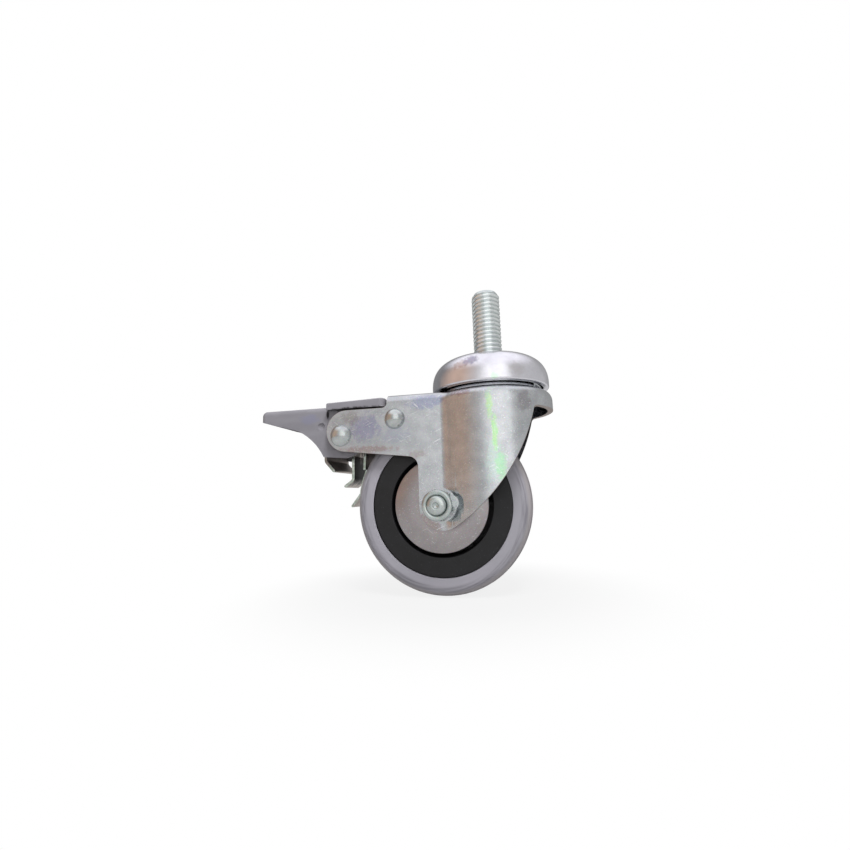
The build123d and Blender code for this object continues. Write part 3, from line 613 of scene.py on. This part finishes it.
def bolt_grid():
    """The bolt as one turned shape: hexagon head, shank and domed end with a centre mark. The head's corners
    are turned off along the cone (1-s) blank + s face, with s from 0 to 1, which leaves a round face."""
    blank_radius, face_radius, lead, shank = hex_corner + 0.1, 4.2, 0.75, 3.0
    share = np.linspace(0, 1, 7)[:, None]
    blank, face = np.array([(blank_radius, head_end - lead)]), np.array([(face_radius, head_end)])
    cone = blank * (1 - share) + face * share
    head = np.concatenate([[(0, head_end)], cone[::-1], [(blank_radius, cheek_outside)]])
    # The domed end and its mark, as radius and distance in from the tip.
    from_tip = np.array([
        (shank, 1.1), (2.9, 0.8), (2.75, 0.4), (2.5, 0.2), (2.0, 0.06), (1.3, 0),
        (1.0, 0.05), (0.8, 0.35), (0.3, 0.6), (0, 0.65),
    ])
    end = np.concatenate([[(shank, cheek_outside)], from_tip - [0, bolt_end]])
    grid = turned(np.concatenate([head, end]), 96)
    return np.concatenate([flats(grid[:len(head)], hex_across, hex_turn), grid[len(head):]])


def nut_grid():
    """The locking nut: a hexagon with a round collar, whose rim is a quarter of a circle, and a countersunk
    bore."""
    bore, collar, rim, step = 3.05, 4.8, 0.7, 2.6
    turn = np.linspace(0, TAU / 4, 9)
    hexagon = [(bore, -cheek_outside), (hex_corner, -cheek_outside),
               (hex_corner, step - nut_end), (collar, step - 0.2 - nut_end)]
    round_rim = np.stack([collar - rim + rim * np.cos(turn), rim - nut_end - rim * np.sin(turn)], axis=-1)
    sink = np.array([(3.5, 0), (3.35, 0.08), (3.08, 0.4)]) - [0, nut_end]
    grid = turned(np.concatenate([hexagon, round_rim, sink]), 96)
    return np.concatenate([flats(grid[:len(hexagon)], hex_across, hex_turn), grid[len(hexagon):]])


built("axle_bolt_m6", "fork", zinc_fastener,
      [along_y(bolt_grid(), axle_x, axle_z)], ["axle_bolt"])
built("axle_nut_m6", "fork", zinc_fastener,
      [along_y(nut_grid(), axle_x, axle_z)], ["axle_nut"])


# ---- Rivets ----

pivot_head_radius = 3.8
shoe_head_radius = 3.5
head_height = 2.4


def dome(base, radius):
    """Half of a round head of height h: an arc of radius (r^2 + h^2) / 2h from its pole to the sheet."""
    ball = (radius ** 2 + head_height ** 2) / (2 * head_height)
    angle = np.linspace(0, np.arcsin(radius / ball), 18)
    return np.stack([ball * np.sin(angle), base + head_height - ball * (1 - np.cos(angle))], axis=-1)


def long_rivet():
    """The pivot rivet: two round heads on one shank."""
    shank = 2.5
    head = dome(cheek_outside, pivot_head_radius)
    return np.concatenate([head, [(shank, cheek_outside), (shank, -cheek_outside)], (head * [1, -1])[::-1]])


def short_rivet(side):
    """A shoe rivet: round head outside the cheek, shank and flat tail inside the shoe's ear."""
    shank, tail_radius, ear_inside, tail_end = 1.8, 2.3, 12.2, 11.3
    tail = [(shank, cheek_outside), (shank, ear_inside), (tail_radius, ear_inside),
            (tail_radius, tail_end + 0.15), (tail_radius - 0.2, tail_end), (0, tail_end)]
    return np.concatenate([dome(cheek_outside, shoe_head_radius), tail]) * [1, side]


built("pivot_rivet_domed", "fork", zinc_rivet,
      [along_y(turned(long_rivet(), 64), pivot_x, pivot_z)], ["pivot_rivet"])
built("shoe_rivets_domed", "fork", zinc_rivet,
      [along_y(turned(short_rivet(side), 64), shoe_x, shoe_z) for side in (1, -1)], ["shoe_rivets"])


# ---- Brake ----

pressed("moulded_pedal", "pedal", "pedal", [pedal_plastic], 0.3)


def spring_cut_edges(middle, normal):
    """Faces of the thickness of sheet that is folded about Y."""
    return np.abs(normal[:, 1]) > 0.9


pressed("folded_brake_plate", "brake_plate", "pedal",
        [zinc_spring, zinc_shorn], 0.15, spring_cut_edges)
pressed("folded_brake_shoe", "brake_shoe", "shoe",
        [zinc_spring, zinc_shorn], 0.12, spring_cut_edges)


# ---- Nodes that keep their CAD shape ----

for node, coat in {
    "lower_race": bearing_steel, "upper_balls": bearing_steel, "lower_balls": bearing_steel,
    "left_inner_ring": bearing_steel, "right_inner_ring": bearing_steel,
    "left_outer_ring": bearing_steel, "right_outer_ring": bearing_steel,
    "axle_sleeve": zinc_fastener, "hub_shims": zinc_fastener,
}.items():
    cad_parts[node].data.materials.clear()
    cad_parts[node].data.materials.append(coat)


# ---- Floor, light and camera ----

def rays(tree):
    """The Light Path outputs that tell apart camera, transmission and glossy rays, by name."""
    return {name: add(tree, "LightPath", out=name)
            for name in ("Is Camera Ray", "Is Transmission Ray", "Is Glossy Ray")}


def pale_floor():
    """A large round floor under the wheel. To the camera it is plain white, apart from a share of paper near
    the castor that takes its shadow: the share falls from 0.15 to nothing between 25 and 80 mm out. In metal
    the share of white is 0.45 of that, and the rest is paper."""
    made, tree, at = material("white paper", "#f2f2f2")
    paper = add(tree, "BsdfDiffuse", {"Color": colour("#b4b4b4")})
    white = add(tree, "Emission", {"Color": (1, 1, 1, 1), "Strength": 1.0})
    from_wheel = add(tree, "VectorMath", {0: at, 1: (axle_x, 0, tyre_low[2])}, operation="SUBTRACT")
    distance = add(tree, "VectorMath", {0: from_wheel}, operation="LENGTH", out="Value")
    share = add(tree, "MapRange", {
        "Value": distance, "From Min": 25, "From Max": 80, "To Min": 0.85, "To Max": 1.0,
    }, interpolation_type="SMOOTHSTEP")
    seen = rays(tree)
    plain = add(tree, "Math", {0: seen["Is Camera Ray"], 1: seen["Is Transmission Ray"]}, operation="MAXIMUM")
    plain = add(tree, "Math", {0: seen["Is Glossy Ray"], 1: 0.45, 2: plain}, operation="MULTIPLY_ADD")
    glow = add(tree, "Math", {0: plain, 1: share}, operation="MULTIPLY")
    add(tree, "OutputMaterial", {"Surface": add(tree, "MixShader", {0: glow, 1: paper, 2: white})})
    mesh = bpy.data.meshes.new("floor")
    reach, sides = 900, 96
    angle = np.linspace(0, TAU, sides, endpoint=False)
    ring = np.stack([reach * np.cos(angle), reach * np.sin(angle), np.full(sides, tyre_low[2])], axis=-1)
    mesh.from_pydata(ring * MM, [], [list(range(sides))])
    mesh.materials.append(made)
    floor = bpy.data.objects.new("floor", mesh)
    bpy.context.scene.collection.objects.link(floor)


# What the metal sees round the studio, by degrees from the front towards +X: a bright front, a brown board
# at the left and grey ones to the right and behind.
surroundings = [
    (-180, "#808080"), (-115, "#707070"), (-75, "#b8a090"), (-50, "#b8a090"), (-18, "#b8b8b8"),
    (0, "#ffffff"), (34, "#ffffff"), (48, "#b8b8b8"), (110, "#b0b0b0"), (180, "#808080"),
]


def studio_world():
    """White for the camera and through clear things, boards of white, greys and brown under a pale ceiling
    for metals, and plain even light for everything else."""
    world = bpy.data.worlds.new("studio")
    bpy.context.scene.world = world
    world.use_nodes = True
    tree = world.node_tree
    tree.nodes.clear()
    direction = add(tree, "TexCoord", out="Generated")
    parts = add(tree, "SeparateXYZ", {"Vector": direction}, out="X").node.outputs
    behind = add(tree, "Math", {0: parts["Y"], 1: -1.0}, operation="MULTIPLY")
    turn = add(tree, "Math", {0: parts["X"], 1: behind}, operation="ARCTAN2")
    share = add(tree, "MapRange", {"Value": turn, "From Min": -np.pi, "From Max": np.pi})
    boards = add(tree, "ValToRGB", {"Fac": share})
    ramp = boards.node.color_ramp
    ramp.elements.remove(ramp.elements[1])
    ramp.elements[0].color = colour(surroundings[0][1])
    for degrees, code in surroundings[1:]:
        ramp.elements.new((degrees + 180) / 360).color = colour(code)
    above = add(tree, "MapRange", {"Value": parts["Z"], "From Min": 0.55, "From Max": 0.9},
                interpolation_type="SMOOTHSTEP")
    seen_by_metal = add(tree, "Mix", {"Factor": above, "A": boards, "B": colour("#f0eff4")}, data_type="RGBA")
    seen = rays(tree)
    plain = add(tree, "Math", {0: seen["Is Camera Ray"], 1: seen["Is Transmission Ray"]}, operation="MAXIMUM")
    even = add(tree, "Background", {"Color": (1, 1, 1, 1), "Strength": 0.33})
    gloss = add(tree, "Background", {"Color": seen_by_metal, "Strength": 1.25})
    white = add(tree, "Background", {"Color": (1, 1, 1, 1), "Strength": 1.0})
    lit = add(tree, "MixShader", {0: seen["Is Glossy Ray"], 1: even, 2: gloss})
    add(tree, "OutputWorld", {"Surface": add(tree, "MixShader", {0: plain, 1: lit, 2: white})})


def lamp(name, place, aim, width, height, power):
    """A soft box at a place in millimetres, turned towards its aim. Metals see the world's boards in its
    place."""
    light = bpy.data.lights.new(name, "AREA")
    light.shape = "RECTANGLE"
    light.size = width * MM
    light.size_y = height * MM
    light.energy = power
    box = bpy.data.objects.new(name, light)
    box.visible_glossy = False
    box.location = Vector(place) * MM
    box.rotation_euler = (Vector(place) - Vector(aim)).to_track_quat("Z", "Y").to_euler()
    bpy.context.scene.collection.objects.link(box)


def camera():
    """A wide lens close to the castor, just above the height of its axle and tilted up a little."""
    turn, rise, roll = radians(11.61), radians(-8.78), radians(-1.74)
    distance, target = 163.02, (-23.98, 0, -22.04)
    back = Vector((sin(turn) * cos(rise), -cos(turn) * cos(rise), sin(rise)))
    right = Vector((cos(turn), sin(turn), 0))
    up = back.cross(right)
    across = cos(roll) * right + sin(roll) * up
    above = cos(roll) * up - sin(roll) * right
    data = bpy.data.cameras.new("camera")
    data.lens = 19.05
    data.sensor_width = 36
    data.clip_start = 0.01
    view = bpy.data.objects.new("camera", data)
    place = (Vector(target) + distance * back) * MM
    view.matrix_world = Matrix.Translation(place) @ Matrix((across, above, back)).transposed().to_4x4()
    bpy.context.scene.collection.objects.link(view)
    bpy.context.scene.camera = view


pale_floor()
studio_world()
middle = (-24, 0, -28)
lamp("front", (83, -288, 20), middle, 218, 260, 0.2)
lamp("top", (50, -170, 240), middle, 110, 110, 0.85)
lamp("back", (-60, 260, 60), middle, 200, 200, 0.12)
camera()
bpy.context.scene.view_settings.view_transform = "Standard"
